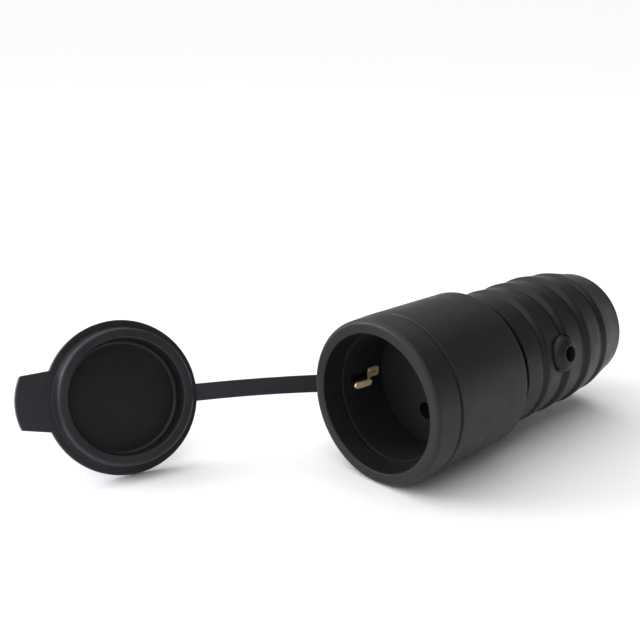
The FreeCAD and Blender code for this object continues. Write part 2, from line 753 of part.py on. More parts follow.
boss_pocket = rod("boss_pocket", "boss_base + boss_groove", "boss_top - boss_floor",
                  ("boss_floor * cos(boss_angle)", "boss_y", "boss_floor * sin(boss_angle)"),
                  (0, 1, 0), "90 - boss_angle")
grip_open = cut("grip_open", grip, [boss_pocket])
nodes.append(cut("grip_sleeve", fused("grip_whole", [grip_open, boss]), [hollow, boss_holes]))

# Seal in the rear wall that the cable passes through
seal = new_body("cable_seal")
turned(seal, "seal_shape", "XY_Plane", [
    ("cable_radius", "bore_end_y - seal_flange_thick - face_gap"),
    ("seal_flange", "bore_end_y - seal_flange_thick - face_gap"),
    ("seal_flange", "bore_end_y - face_gap"),
    ("seal_radius", "bore_end_y - face_gap"),
    ("seal_radius", "grip_end - seal_inset"),
    ("cable_radius", "grip_end - seal_inset"),
])
nodes.append(seal)

# Ring of the cap's strap, in the groove behind the barrel
ring = new_body("retaining_ring")
turned(ring, "ring_shape", "XY_Plane", [
    ("ring_inner", "ring_front"),
    ("ring_outer", "ring_front"),
    ("ring_outer", "ring_front + ring_width"),
    ("ring_inner", "ring_front + ring_width"),
])
nodes.append(ring)

# Cap: modelled with its inner side along +Z and its strap along +X, then laid beside the mouth
facing, lean, roll = "sizes.cap_facing", "sizes.cap_lean", "sizes.cap_roll"
strap_run_x = "(cos(%s) * cos(%s) - sin(%s) * sin(%s) * sin(%s))" % (facing, roll, lean, facing, roll)
strap_run_y = "(sin(%s) * cos(%s) + sin(%s) * cos(%s) * sin(%s))" % (facing, roll, lean, facing, roll)
cap_x = "-%s - sizes.strap_side_gap - sizes.strap_reach * %s" % (link("barrel_radius"), strap_run_x)
cap_y = "%s - sizes.strap_reach * %s" % (link("ring_front + ring_width / 2 - strap_lead"), strap_run_y)
cap_z = "%s * cos(%s) + sizes.flange_thick * sin(%s) - %s" % (
    link("flange_radius"), lean, lean, link("barrel_radius"))
lying = ("create(<<placement>>; create(<<vector>>; %s; %s; %s);"
         " create(<<rotation>>; create(<<vector>>; 0; 0; 1); sizes.cap_facing)"
         " * create(<<rotation>>; create(<<vector>>; 1; 0; 0); 90 - sizes.cap_lean)"
         " * create(<<rotation>>; create(<<vector>>; 0; 0; 1); sizes.cap_roll))" % (cap_x, cap_y, cap_z))
cap = new_body("cap")
cap_turn = turned(cap, "cap_shape", "XZ_Plane", [
    ("0", "-cap_back"),
    ("cap_back_radius", "-cap_back"),
    ("cap_back_radius + cap_back - flange_thick", "-flange_thick"),
    ("flange_radius", "-flange_thick"),
    ("flange_radius", "0"),
    ("collar_base", "0"),
    ("collar_top", "collar_height"),
    ("collar_bore", "collar_height"),
    ("collar_bore", "collar_height - cap_recess"),
    ("0", "collar_height - cap_recess"),
])
cap_edges = rounded(cap, "cap_edges", cap_turn,
                    [("collar_top", "collar_height"), ("collar_bore", "collar_height")], "collar_round", "z")
cap_floor = rounded(cap, "cap_floor", cap_edges, [("collar_bore", "collar_height - cap_recess")],
                    "cap_recess_round", "z")
pull_sketch = outline(cap, "pull_profile", "XY_Plane", [
    ("-flange_radius + 3", "-pull_root_half"),
    ("-flange_radius + 3", "pull_root_half"),
    ("-flange_radius - pull_reach + pull_bow", "pull_end_half"),
    ("-flange_radius - pull_reach", "pull_end_half / 2.6"),
    ("-flange_radius - pull_reach", "-pull_end_half / 2.6"),
    ("-flange_radius - pull_reach + pull_bow", "-pull_end_half"),
])
pull = cap.newObject("PartDesign::Pad", "pull_tab")
pull.Profile = pull_sketch
pull.Reversed = True
pull.setExpression("Length", link("flange_thick"))
doc.recompute()
pull_x = amount("-flange_radius - pull_reach + pull_bow")
pull_y = amount("pull_end_half")
rounded_corners(cap, "pull_corners", pull, [(pull_x, pull_y), (pull_x, -pull_y)], "pull_round")
cap.setExpression("Placement", lying)
doc.recompute()
nodes.append(cap)

# Strap: flat rubber band from the ring to the cap's edge, bent once behind the barrel
strap = new_body("strap_blank")
near = "flange_radius + strap_gap"
corner_held = "sizes.strap_reach - sizes.strap_thick / 2 * tan(sizes.strap_turn / 2)"
strap_sketch = strap.newObject("Sketcher::SketchObject", "strap_profile")
for datum in strap.Origin.OriginFeatures:
    if datum.Role == "XZ_Plane":
        strap_sketch.AttachmentSupport = (datum, "")
strap_sketch.MapMode = "FlatFace"
run = FreeCAD.Rotation(FreeCAD.Vector(0, 0, 1), size["strap_turn"]).multVec(FreeCAD.Vector(1, 0, 0))
side_step = FreeCAD.Vector(run.y, -run.x, 0)
thick = size["strap_thick"]
corner_x = size["strap_reach"] - thick / 2 * (1 - run.x) / run.y
top_bend = FreeCAD.Vector(corner_x, 0, 0)
low_bend = top_bend + FreeCAD.Vector(thick * (1 - run.x) / run.y, -thick, 0)
strap_corners = [
    FreeCAD.Vector(amount(near), -thick, 0),
    low_bend,
    low_bend + run * size["strap_stub"],
    top_bend + run * size["strap_stub"],
    top_bend,
    FreeCAD.Vector(amount(near), 0, 0),
]
slope = "sizes.strap_turn"
low_x = "%s + sizes.strap_thick * (1 - cos(%s)) / sin(%s)" % (corner_held, slope, slope)
strap_held = [
    (link(near), "-sizes.strap_thick"),
    (low_x, "-sizes.strap_thick"),
    (low_x + " + sizes.strap_stub * cos(%s)" % slope,
     "sizes.strap_stub * sin(%s) - sizes.strap_thick" % slope),
    (corner_held + " + sizes.strap_stub * cos(%s)" % slope, "sizes.strap_stub * sin(%s)" % slope),
    (corner_held, None),
    (link(near), None),
]
for index, corner in enumerate(strap_corners):
    strap_sketch.addGeometry(Part.LineSegment(corner, strap_corners[(index + 1) % 6]), False)
for index in range(6):
    strap_sketch.addConstraint(Sketcher.Constraint("Coincident", index, 2, (index + 1) % 6, 1))
for index, (corner, (across, along)) in enumerate(zip(strap_corners, strap_held)):
    number = strap_sketch.addConstraint(Sketcher.Constraint("DistanceX", -1, 1, index, 1, corner.x))
    strap_sketch.setExpression("Constraints[%d]" % number, across)
    if along is None:
        strap_sketch.addConstraint(Sketcher.Constraint("PointOnObject", index, 1, -1))
    else:
        number = strap_sketch.addConstraint(Sketcher.Constraint("DistanceY", -1, 1, index, 1, corner.y))
        strap_sketch.setExpression("Constraints[%d]" % number, along)
strap_pad = padded(strap, "strap_band", strap_sketch, "strap_width")
inner_bend = rounded_corners(strap, "strap_inner_bend", strap_pad, [(top_bend.x, 0.0)], "strap_bend", "xz")
rounded_corners(strap, "strap_outer_bend", inner_bend, [(low_bend.x, -thick)],
                "strap_bend + strap_thick", "xz")
strap.setExpression("Placement", lying)
strap_stop = rod("strap_stop", "ring_outer + strap_root_gap", "40", ("0", "ring_front - 20", "0"))
nodes.append(cut("cap_strap", strap, [strap_stop]))

doc.recompute()

for thing in doc.Objects:
    if "Invalid" in thing.State or "Error" in thing.State:
        raise RuntimeError("%s did not build: %s" % (thing.Name, thing.State))
os.makedirs("parts", exist_ok=True)
for node in nodes:
    if node.Shape.isNull() or not node.Shape.isValid():
        raise RuntimeError("%s has no valid shape" % node.Label)
    node.Shape.exportStep("parts/%s.step" % node.Label)
    print(node.Label, len(node.Shape.Solids), round(node.Shape.Volume, 1), node.Shape.BoundBox)
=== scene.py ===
import math

import bpy
from mathutils import Matrix, Vector


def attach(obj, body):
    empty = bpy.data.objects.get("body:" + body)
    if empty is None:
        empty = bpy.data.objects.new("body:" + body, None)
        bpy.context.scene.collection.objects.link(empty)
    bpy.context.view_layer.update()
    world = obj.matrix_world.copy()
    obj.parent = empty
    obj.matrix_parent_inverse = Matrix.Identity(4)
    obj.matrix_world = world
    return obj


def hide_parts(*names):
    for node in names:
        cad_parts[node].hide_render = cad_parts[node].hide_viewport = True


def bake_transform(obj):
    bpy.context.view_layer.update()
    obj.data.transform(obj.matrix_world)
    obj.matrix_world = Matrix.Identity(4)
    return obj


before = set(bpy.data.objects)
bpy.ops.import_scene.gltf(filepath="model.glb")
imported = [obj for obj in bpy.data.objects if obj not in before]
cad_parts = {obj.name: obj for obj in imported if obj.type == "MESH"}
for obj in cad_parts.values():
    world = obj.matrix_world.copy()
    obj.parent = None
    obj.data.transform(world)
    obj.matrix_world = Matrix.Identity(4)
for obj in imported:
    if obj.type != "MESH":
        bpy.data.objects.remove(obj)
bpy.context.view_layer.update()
mm = 0.001
weld = 2e-6  # points nearer than this become one, in metres
alongY = (0, 1, 0)  # the connector's own axis
alongZ = (0, 0, 1)
arc = {"share": 0.48, "most": 8, "degrees": 10}  # how a rounded corner is drawn
print("frame loaded:", len(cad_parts), "nodes")


def letGo():
    if bpy.context.object and bpy.context.object.mode != "OBJECT":
        bpy.ops.object.mode_set(mode="OBJECT")
    bpy.ops.object.select_all(action="DESELECT")


def pickOnly(piece):
    letGo()
    piece.select_set(True)
    bpy.context.view_layer.objects.active = piece


def setDown():
    # the place and turn of what is picked go into its mesh
    bpy.ops.object.transform_apply(location=True, rotation=True, scale=True)


def nameNew(name):
    piece = bpy.context.object
    piece.name = piece.data.name = name
    return piece


def editAll(piece):
    pickOnly(piece)
    bpy.ops.object.mode_set(mode="EDIT")
    bpy.ops.mesh.select_all(action="SELECT")


def faceOut():
    bpy.ops.mesh.select_all(action="SELECT")
    bpy.ops.mesh.normals_make_consistent(inside=False)
    bpy.ops.object.mode_set(mode="OBJECT")


def roundPath(corners):
    # corners are (across, along, round) in mm, and a round corner becomes a short arc
    path = []
    for i, (x, y, r) in enumerate(corners):
        here = Vector((x, y))
        if r <= 0 or i in (0, len(corners) - 1):
            path.append((x, y))
            continue
        before = Vector(corners[i - 1][:2]) - here
        after = Vector(corners[i + 1][:2]) - here
        turn = math.pi - before.angle(after)
        reach = min(r * math.tan(turn / 2), before.length * arc["share"], after.length * arc["share"])
        r = reach / math.tan(turn / 2)
        middle = here + (before.normalized() + after.normalized()).normalized() * (r / math.cos(turn / 2))
        first = here + before.normalized() * reach - middle
        steps = max(2, min(arc["most"], int(math.degrees(turn) / arc["degrees"]) + 1))
        side = 1 if before.x * after.y - before.y * after.x < 0 else -1
        for k in range(steps + 1):
            a = side * turn * k / steps
            path.append((middle.x + first.x * math.cos(a) - first.y * math.sin(a),
                         middle.y + first.x * math.sin(a) + first.y * math.cos(a)))
    return path


def drawLine(name, path):
    # a chain of vertices drawn by extruding one vertex from point to point, in mm
    letGo()
    bpy.ops.mesh.primitive_plane_add(size=mm)
    piece = nameNew(name)
    bpy.ops.object.mode_set(mode="EDIT")
    bpy.ops.mesh.merge(type="CENTER")
    spots = [Vector((p[0], p[1], p[2] if len(p) > 2 else 0)) * mm for p in path]
    bpy.ops.transform.translate(value=spots[0])
    for a, b in zip(spots, spots[1:]):
        bpy.ops.mesh.extrude_vertices_move(TRANSFORM_OT_translate={"value": b - a})
    bpy.ops.object.mode_set(mode="OBJECT")
    return piece


def lathe(name, corners, steps, axis=alongY, shut=True):
    # a drawn profile turned once round the axis, with its seam closed
    path = roundPath(corners)
    if shut and path[0] != path[-1]:
        path.append(path[0])
    if axis == alongZ:
        path = [(x, 0, y) for x, y in path]
    piece = drawLine(name, path)
    editAll(piece)
    bpy.ops.mesh.spin(steps=steps, angle=2 * math.pi, center=(0, 0, 0), axis=axis)
    bpy.ops.mesh.select_all(action="SELECT")
    bpy.ops.mesh.remove_doubles(threshold=weld)
    faceOut()
    return piece


def useModifier(piece, kind, **settings):
    pickOnly(piece)
    bpy.ops.object.modifier_add(type=kind)
    modifier = piece.modifiers[-1]
    for key, value in settings.items():
        setattr(modifier, key, value)
    bpy.ops.object.modifier_apply(modifier=modifier.name)


def thicken(piece, thick):
    useModifier(piece, "SOLIDIFY", thickness=thick * mm, offset=0, use_even_offset=True)


def roundEdges(piece, width, angle=50, segments=3):
    useModifier(piece, "BEVEL", width=width * mm, segments=segments, limit_method="ANGLE",
                angle_limit=math.radians(angle))


def carve(piece, cutters, operation="DIFFERENCE"):
    for cutter in cutters:
        useModifier(piece, "BOOLEAN", object=cutter, operation=operation, solver="EXACT")
    letGo()
    for cutter in cutters:
        cutter.select_set(True)
    bpy.ops.object.delete()


def barAlong(name, radius, start, end, sides, tip=None):
    # round bar between two points in mm; tip is the end's own radius
    start, end = Vector(start) * mm, Vector(end) * mm
    letGo()
    bpy.ops.mesh.primitive_cone_add(vertices=sides, radius1=radius * mm, radius2=(tip or radius) * mm,
                                    depth=(end - start).length, location=(start + end) / 2,
                                    rotation=(end - start).to_track_quat("Z", "Y").to_euler())
    setDown()
    return nameNew(name)


def boxFrom(name, low, high):
    low, high = Vector(low) * mm, Vector(high) * mm
    letGo()
    bpy.ops.mesh.primitive_cube_add(size=1, location=(low + high) / 2, scale=high - low)
    setDown()
    return nameNew(name)


def joinInto(piece, others):
    pickOnly(piece)
    for other in others:
        other.select_set(True)
    bpy.ops.object.join()
    return piece


def ribbon(name, path, width, thick, edge):
    # a drawn line pulled sideways into a band, then given its thickness
    side = Vector((0, 0, width))
    piece = drawLine(name, [Vector(p) - side / 2 for p in path])
    editAll(piece)
    bpy.ops.mesh.extrude_edges_move(TRANSFORM_OT_translate={"value": side * mm})
    faceOut()
    thicken(piece, thick)
    roundEdges(piece, edge)
    return piece


def plate(name, outline, push, edge):
    # a closed outline, filled and pushed out to its thickness
    piece = drawLine(name, outline + outline[:1])
    editAll(piece)
    bpy.ops.mesh.remove_doubles(threshold=weld)
    bpy.ops.mesh.edge_face_add()
    bpy.ops.mesh.extrude_region_move(TRANSFORM_OT_translate={"value": Vector(push) * mm})
    faceOut()
    roundEdges(piece, edge, 40)
    return piece


def dress(piece, material, node, body="connector", smooth=35):
    # last touches: smooth faces, finish, and the CAD node that it stands for
    pickOnly(piece)
    setDown()
    bpy.ops.object.shade_smooth_by_angle(angle=math.radians(smooth))
    useModifier(piece, "WEIGHTED_NORMAL", keep_sharp=True, weight=60)
    piece.data.materials.clear()
    piece.data.materials.append(material)
    if body:
        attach(piece, body)
    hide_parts(node)
    return piece


# finishes: each pattern is (scale, detail), each bump (strength, depth in metres)
rubberLook = {"bloom": (38, 5), "tone": (0.34, 0.72), "smear": (160, 4), "sheen": (-0.05, 0.06),
              "flow": (420, 3), "flowBump": (0.08, 0.0003), "skin": (2600, 2), "skinBump": (0.16, 0.00006)}
plasticLook = {"cloud": (70, 4), "smear": (240, 3), "sheen": (-0.04, 0.06), "shine": 0.3, "skin": (1900, 2),
               "skinBump": (0.12, 0.00005)}
metalLook = {"tint": (180, 4), "brush": (900, 3, 0.6), "sheen": (-0.07, 0.1), "brushBump": (0.1, 0.00004)}


def newFinish(name):
    material = bpy.data.materials.new(name)
    material.use_nodes = True
    tree = material.node_tree
    shader = tree.nodes["Principled BSDF"]
    place = tree.nodes.new("ShaderNodeTexCoord")
    return material, tree, shader, place.outputs["Object"]


def grain(tree, place, scale, detail, rough=0.55, stretch=None):
    if stretch:
        mapping = tree.nodes.new("ShaderNodeMapping")
        mapping.inputs["Scale"].default_value = stretch
        tree.links.new(place, mapping.inputs["Vector"])
        place = mapping.outputs["Vector"]
    noise = tree.nodes.new("ShaderNodeTexNoise")
    noise.inputs["Scale"].default_value = scale
    noise.inputs["Detail"].default_value = detail
    noise.inputs["Roughness"].default_value = rough
    tree.links.new(place, noise.inputs["Vector"])
    return noise.outputs["Fac"]


def ramp(tree, value, low, high, start=0.3, end=0.7):
    step = tree.nodes.new("ShaderNodeValToRGB")
    step.color_ramp.elements[0].position = start
    step.color_ramp.elements[1].position = end
    step.color_ramp.elements[0].color = (*low, 1)
    step.color_ramp.elements[1].color = (*high, 1)
    tree.links.new(value, step.inputs["Fac"])
    return step.outputs["Color"]


def span(tree, value, low, high, start=0.3, end=0.7):
    step = tree.nodes.new("ShaderNodeMapRange")
    step.inputs["From Min"].default_value = start
    step.inputs["From Max"].default_value = end
    step.inputs["To Min"].default_value = low
    step.inputs["To Max"].default_value = high
    tree.links.new(value, step.inputs["Value"])
    return step.outputs["Result"]


def roughen(tree, shader, smear, gloss, sheen):
    tree.links.new(span(tree, smear, gloss + sheen[0], gloss + sheen[1]), shader.inputs["Roughness"])


def relief(tree, shader, heights):
    # heights are (value, (strength, depth)), one bump feeding the next
    last = None
    for value, (strength, depth) in heights:
        bump = tree.nodes.new("ShaderNodeBump")
        bump.inputs["Strength"].default_value = strength
        bump.inputs["Distance"].default_value = depth
        tree.links.new(value, bump.inputs["Height"])
        if last:
            tree.links.new(last, bump.inputs["Normal"])
        last = bump.outputs["Normal"]
    tree.links.new(last, shader.inputs["Normal"])


def rubberFinish(name, dark, light, gloss, shine=0.3):
    look = rubberLook
    material, tree, shader, place = newFinish(name)
    bloom = grain(tree, place, *look["bloom"])  # faint cloudy bloom of moulded rubber
    tree.links.new(ramp(tree, bloom, dark, light, *look["tone"]), shader.inputs["Base Color"])
    roughen(tree, shader, grain(tree, place, *look["smear"]), gloss, look["sheen"])
    shader.inputs["Specular IOR Level"].default_value = shine
    skin = grain(tree, place, *look["skin"])
    flow = grain(tree, place, *look["flow"])
    relief(tree, shader, [(flow, look["flowBump"]), (skin, look["skinBump"])])
    return material


def plasticFinish(name, dark, light, gloss):
    look = plasticLook
    material, tree, shader, place = newFinish(name)
    cloud = grain(tree, place, *look["cloud"])
    tree.links.new(ramp(tree, cloud, dark, light), shader.inputs["Base Color"])
    roughen(tree, shader, grain(tree, place, *look["smear"]), gloss, look["sheen"])
    shader.inputs["Specular IOR Level"].default_value = look["shine"]
    relief(tree, shader, [(grain(tree, place, *look["skin"]), look["skinBump"])])
    return material


def metalFinish(name, dark, light, gloss, stretch, metal=1.0):
    look = metalLook
    material, tree, shader, place = newFinish(name)
    tint = grain(tree, place, *look["tint"])
    tree.links.new(ramp(tree, tint, dark, light), shader.inputs["Base Color"])
    brush = grain(tree, place, *look["brush"], stretch)
    roughen(tree, shader, brush, gloss, look["sheen"])
    shader.inputs["Metallic"].default_value = metal
    relief(tree, shader, [(brush, look["brushBump"])])
    return material


housingRubber = rubberFinish("housingRubber", (0.0092, 0.0091, 0.0096), (0.0133, 0.0131, 0.0138), 0.46)
gripRubber = rubberFinish("gripRubber", (0.0076, 0.0075, 0.0079), (0.011, 0.0108, 0.0113), 0.44, 0.26)
# the cap and strap rubbers are paler and bluer than the housing rubber: partly their own tone, partly painted
# light for the light that falls on them
capRubber = rubberFinish("capRubber", (0.015, 0.0153, 0.018), (0.0227, 0.0232, 0.0268), 0.44)
strapRubber = rubberFinish("strapRubber", (0.0245, 0.026, 0.03), (0.0345, 0.0365, 0.0415), 0.47)
sealRubber = rubberFinish("sealRubber", (0.008, 0.008, 0.0086), (0.012, 0.012, 0.0128), 0.6)
insertPlastic = plasticFinish("insertPlastic", (0.0084, 0.0085, 0.0103), (0.0121, 0.0124, 0.0149), 0.5)
basePlastic = plasticFinish("basePlastic", (0.02, 0.02, 0.021), (0.03, 0.03, 0.032), 0.52)
contactBrass = metalFinish("contactBrass", (0.9, 0.66, 0.36), (1.0, 0.8, 0.52), 0.36, (1, 1, 8), 0.5)
# the contact sleeves' brass is painted very dark, as painted shade that keeps the pin holes dark
sleeveBrass = metalFinish("sleeveBrass", (0.1, 0.07, 0.04), (0.16, 0.115, 0.065), 0.5, (1, 1, 8))
fixingSteel = metalFinish("fixingSteel", (0.38, 0.38, 0.39), (0.55, 0.55, 0.56), 0.34, (6, 1, 1))
darkSteel = metalFinish("darkSteel", (0.03, 0.03, 0.032), (0.06, 0.06, 0.063), 0.42, (6, 1, 1))
print("finishes made")

# barrel: radii and places along the axis in mm, as on all pieces
barrel = {"mouth": 21.75, "seam": 3.0, "rim": 25.75, "rimRound": 1.5, "body": 25.99, "rear": 25.6,
          "end": 42.0, "line": 9.7, "lineDepth": 0.75, "lineTop": 0.65, "lineFoot": 0.3,
          "lip": 6.6, "seat": 22.2, "seatEnd": 35.4, "skirt": 23.2, "skirtFrom": 36.1}


def makeBarrel(b):
    return lathe("barrelSleeve", [
        (b["mouth"], b["seam"], 0),
        (b["mouth"], 0, 0.45),
        (b["rim"], 0, b["rimRound"]),
        (b["body"], b["line"] - b["lineTop"], 0.3),
        (b["body"] - b["lineDepth"], b["line"] - b["lineFoot"], 0.1),
        (b["body"] - b["lineDepth"], b["line"] + b["lineFoot"], 0.1),
        (b["body"], b["line"] + b["lineTop"], 0.2),
        (b["rear"], b["end"], 0.8),
        (b["skirt"], b["end"], 0.3),
        (b["skirt"], b["skirtFrom"], 0),
        (b["seat"], b["seatEnd"], 0),
        (b["seat"], b["lip"], 0),
        (b["mouth"], b["lip"], 0.12),
        (b["mouth"], b["seam"], 0),
    ], 192)


dress(makeBarrel(barrel), housingRubber, "front_housing")
print("barrel made")

# socket insert
cup = {"outer": 22.12, "recess": 19.75, "front": 6.65, "floor": 24.15, "floorEdge": 0.6, "back": 27.15,
       "end": 30.0, "rear": 20.4, "rim": 0.22, "gap": 1.3, "gapLean": 0.1, "gapFoot": 0.35, "gapTop": 0.3,
       "pin": 9.5, "pinHole": 2.75, "pinPast": 2, "pinLead": 0.22, "leadDeep": 0.5,
       "drop": 0.7, "slotOut": 24,
       # each step of a side slot: start, end, inner radius and half width
       "slots": [(10.4, 23.2, 19.3, 1.1), (17.6, 23.2, 19.3, 2.1),
                 (23.1, 24.4, 20.5, 1.2), (24.3, 31.0, 19.3, 4.0)]}


def pinCutters(c, z):
    floor, back, past, deep = c["floor"], c["back"], c["pinPast"], c["leadDeep"]
    wide = c["pinHole"] + c["pinLead"]
    return [barAlong("pinHole", c["pinHole"], (0, floor - past, z), (0, back + past, z), 48),
            barAlong("pinLead", wide + deep, (0, floor - deep, z), (0, floor + deep, z), 48, wide - deep)]


def slotCutters(c, side):
    cutters = []
    for start, end, inner, half in c["slots"]:
        near, far = sorted((side * inner, side * c["slotOut"]))
        low = (near, start, -half - c["drop"])
        high = (far, end, half - c["drop"])
        cutters.append(boxFrom("springSlot", low, high))
    return cutters


def makeCup(c):
    piece = lathe("recessCup", [
        (0, c["floor"], 0),
        (c["recess"] - c["floorEdge"], c["floor"], 0),
        (c["recess"], c["floor"], 0),
        (c["recess"], c["front"], 0.12),
        (c["recess"] + c["rim"], c["front"], 0.1),
        (c["recess"] + c["rim"] + c["gapLean"], c["front"] + c["gap"], 0),  # a dark groove parts rim and lip
        (c["outer"] - c["gapFoot"], c["front"] + c["gap"], 0),
        (c["outer"] - c["gapTop"], c["front"], 0.05),
        (c["outer"], c["front"], 0.1),
        (c["outer"], c["end"], 0),
        (c["rear"], c["end"], 0),
        (c["rear"], c["back"], 0),
        (0, c["back"], 0),
    ], 160)
    cutters = pinCutters(c, c["pin"]) + pinCutters(c, -c["pin"])
    carve(piece, cutters + slotCutters(c, 1) + slotCutters(c, -1))
    return piece


dress(makeCup(cup), insertPlastic, "socket_insert", smooth=30)
print("socket insert made")

# earth springs
spring = {"thick": 0.8, "edge": 0.12, "back": 27.75, "wall": 20.0, "drop": cup["drop"],
          "bar": 6.0, "barShort": 0.8, "barEdge": 0.14, "root": 1.9, "rootIn": 3, "sink": 1.2,
          "head": 3.2, "headFrom": 18.4, "headTo": 22.9, "headRound": 0.8, "slit": 0.24, "slitFrom": 19.7,
          "neck": 1.35, "neckIn": 0.9, "knee": 18.5, "crown": 13.15,
          "finger": 1.9, "reach": 14.38, "tipX": 14.9, "tipY": 8.2, "fingerMid": 3, "endHalf": 0.4,
          "lay": {1: 1.5, -1: 0.0}}  # one spring stands a little further out


def springRoot(s, side):
    deep = s["wall"] + s["sink"]  # it runs in the channel behind the wall
    bend = roundPath([
        (s["wall"] - s["rootIn"], s["back"], 0),
        (deep, s["back"], 0.9),
        (deep, s["headTo"] + 0.9, 0.7),
        (s["wall"], s["headTo"] - 0.1, 0.5),
        (s["wall"], s["headTo"] - 0.5, 0),
    ])
    return ribbon("springRoot", [(side * x, y, 0) for x, y in bend], s["root"], s["thick"], s["edge"])


def springHead(s, side):
    half, curve = s["head"] / 2, s["headRound"]
    outline = roundPath([
        (s["headFrom"], 0, 0),
        (s["headFrom"], -half, curve),
        (s["headTo"], -half, curve),
        (s["headTo"], -s["slit"], 0.3),
        (s["slitFrom"], -s["slit"], 0),
        (s["slitFrom"], s["slit"], 0),
        (s["headTo"], s["slit"], 0.3),
        (s["headTo"], half, curve),
        (s["headFrom"], half, curve),
        (s["headFrom"], 0, 0),
    ])[:-1]  # slit from its rear end into two prongs
    inner = side * s["wall"] - s["thick"] / 2
    return plate("springHead", [(inner, y, z) for y, z in outline], (s["thick"], 0, 0), s["edge"])


def springFinger(s, side):
    reach = s["reach"] + s["lay"][side]
    tipX = s["tipX"] + s["lay"][side]
    knee = s["crown"] - 0.1
    neck = roundPath([
        (s["wall"], s["headFrom"] + s["neckIn"], 0),
        (s["wall"], s["knee"], 1.2),
        (reach, s["crown"], 0.9),
        (reach + 0.05, s["crown"] - 0.8, 0),
    ])
    finger = [(reach, knee), (reach + 0.15, knee - s["fingerMid"]), (tipX, s["tipY"])]
    pieces = []
    for name, path, width in (("springNeck", neck, s["neck"]), ("springFinger", finger, s["finger"])):
        pieces.append(ribbon(name, [(side * x, y, 0) for x, y in path], width, s["thick"], s["edge"]))
    for x, y in (finger[0], finger[-1]):  # both ends of the finger are round
        start, end = side * (x - s["endHalf"]), side * (x + s["endHalf"])
        button = barAlong("fingerEnd", s["finger"] / 2, (start, y, 0), (end, y, 0), 32)
        roundEdges(button, s["edge"], segments=2)
        pieces.append(button)
    return pieces


def makeSprings(s):
    pieces = []
    for side in (1, -1):
        pieces += [springRoot(s, side), springHead(s, side)] + springFinger(s, side)
    for piece in pieces:  # the springs hang a little below the middle of the bar
        pickOnly(piece)
        bpy.ops.transform.translate(value=(0, 0, -s["drop"] * mm))
        setDown()
    half = s["wall"] - s["barShort"]
    bar = [(-half, s["back"], 0), (0, s["back"], 0), (half, s["back"], 0)]
    return joinInto(ribbon("earthSprings", bar, s["bar"], s["thick"], s["barEdge"]), pieces)


dress(makeSprings(spring), contactBrass, "earth_bracket", smooth=40)
print("earth springs made")

# grip
grip = {"spigot": 22.12, "spigotFrom": 30.4, "spigotMid": 20.5, "shoulder": 22.95, "shoulderFrom": 36.2,
        "groove": 20.9, "grooveFrom": 42.5, "grooveTo": 46.85, "band": 22.5, "bandTo": 54.4,
        "ribs": [56.0, 67.6, 79.2, 90.8], "valley": 21.6, "valleyRound": 0.8, "crest": 22.85,
        "crestRound": 1.8, "crestLag": 1.6, "backLead": 2.6, "backRound": 6.0, "fall": (0.55, 0.55, 1.0),
        "lastValley": 20.95, "lastCrest": 21.8, "lastLag": 1.7, "tail": 103.0, "tailRadius": 19.45,
        "end": 106.6, "endRadius": 18.8, "hole": 9.08, "wall": 99.6,
        "ringTop": (15.2, 12.2), "ringFoot": (14.8, 12.6), "ringDeep": 0.7,  # the groove round the rear face
        "inTail": 16.4, "in": 18.4, "inFrom": 53.0, "inTo": 78.0, "inFront": 19.6, "inFrontTo": 52.0}
boss = {"angle": 13.0, "y": 66.0, "base": 5.85, "floor": 21.3, "edge": 22.6, "top": 25.2, "tip": 3.2,
        "hole": 2.45, "shank": 1.95, "seat": 21.0, "groove": 0.55, "foot": 18.8, "core": 0.6, "footPast": 2,
        "topPast": 27}


def gripCorners(g):
    corners = [
        (g["spigotMid"], g["spigotFrom"], 0),
        (g["spigot"], g["spigotFrom"], 0.3),
        (g["spigot"], g["shoulderFrom"], 0),
        (g["shoulder"], g["shoulderFrom"], 0),
        (g["shoulder"], g["grooveFrom"], 0.15),
        (g["groove"], g["grooveFrom"], 0),
        (g["groove"], g["grooveTo"], 0),
        (g["band"], g["grooveTo"], 0.2),
        (g["band"], g["bandTo"], 1.2),
    ]
    stops = g["ribs"]
    for fall, a, b in zip(g["fall"], stops, stops[1:]):
        corners += [
            (g["valley"], a, g["valleyRound"]),
            (g["crest"], a + g["crestLag"], g["crestRound"]),  # steep in front, a long fall behind
            (g["crest"] - fall, b - g["backLead"], g["backRound"]),
        ]
    corners += [
        (g["lastValley"], stops[-1], g["valleyRound"]),
        (g["lastCrest"], stops[-1] + g["lastLag"], g["crestRound"]),
        (g["tailRadius"], g["tail"], g["backRound"]),
        (g["endRadius"], g["end"], 1.8),
        (g["ringTop"][0], g["end"], 0.3),
        (g["ringFoot"][0], g["end"] - g["ringDeep"], 0.3),
        (g["ringFoot"][1], g["end"] - g["ringDeep"], 0.3),
        (g["ringTop"][1], g["end"], 0.3),
        (g["hole"], g["end"], 0.7),
        (g["hole"], g["wall"], 0),
        (g["inTail"], g["wall"], 0),
        (g["in"], g["inTo"], 0),
        (g["in"], g["inFrom"], 0),
        (g["inFront"], g["inFrontTo"], 0),
        (g["inFront"], g["spigotFrom"], 0),
        (g["spigotMid"], g["spigotFrom"], 0),
    ]
    return corners


def bossSpot(radial):
    # a point on the boss's own axis
    a = math.radians(boss["angle"])
    return (radial * math.cos(a), boss["y"], radial * math.sin(a))


def toBoss(piece):
    # turns a piece made round Z so that it stands on the boss's axis
    turn = Matrix.Rotation(math.radians(90 - boss["angle"]), 4, "Y")
    piece.matrix_world = Matrix.Translation((0, boss["y"] * mm, 0)) @ turn
    pickOnly(piece)
    setDown()
    return piece


